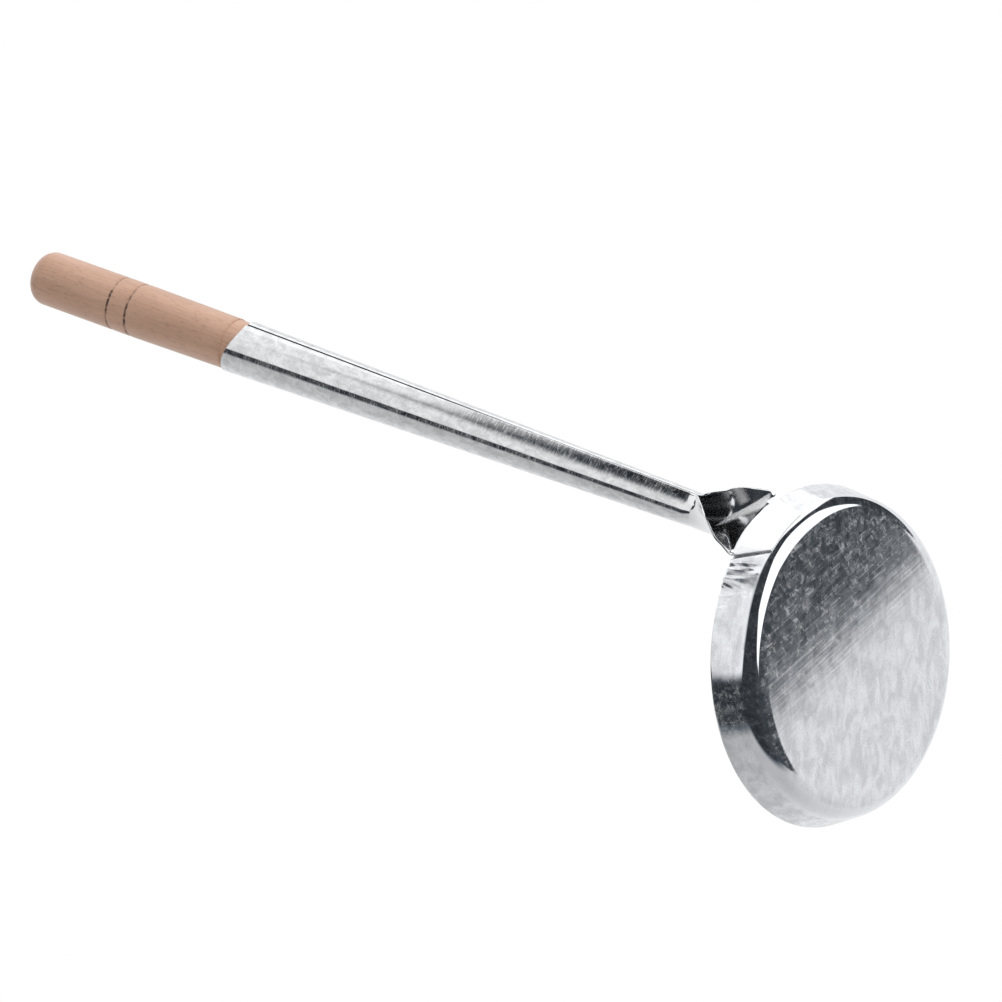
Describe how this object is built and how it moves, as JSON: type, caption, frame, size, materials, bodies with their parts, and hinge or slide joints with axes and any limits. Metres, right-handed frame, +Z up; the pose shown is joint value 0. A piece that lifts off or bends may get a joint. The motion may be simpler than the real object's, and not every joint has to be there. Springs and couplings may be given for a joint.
{
  "type": "frying spoon",
  "caption": "Shallow round sheet-metal pan on a long rolled handle with a turned wooden grip, for lowering batter cakes into hot oil.",
  "frame": {"origin": "centre of the pan's flat underside", "axes": "+Z up out of the pan along its axis, +X towards the side that the handle leans out over, +Y across"},
  "size_m": [0.2044, 0.1, 0.2495],
  "materials": {
    "pan_sheet": "galvanised, small spangle",
    "shank_sheet": "galvanised, small spangle",
    "weld_metal": "plain",
    "grip_wood": "turned and left bare",
    "nail_steel": "bright wire nail"
  },
  "bodies": {
    "root": {"pan": "pan_sheet", "shank": "shank_sheet", "spot_welds": "weld_metal", "grip": "grip_wood", "grip_nail": "nail_steel"}
  },
  "joints": []
}
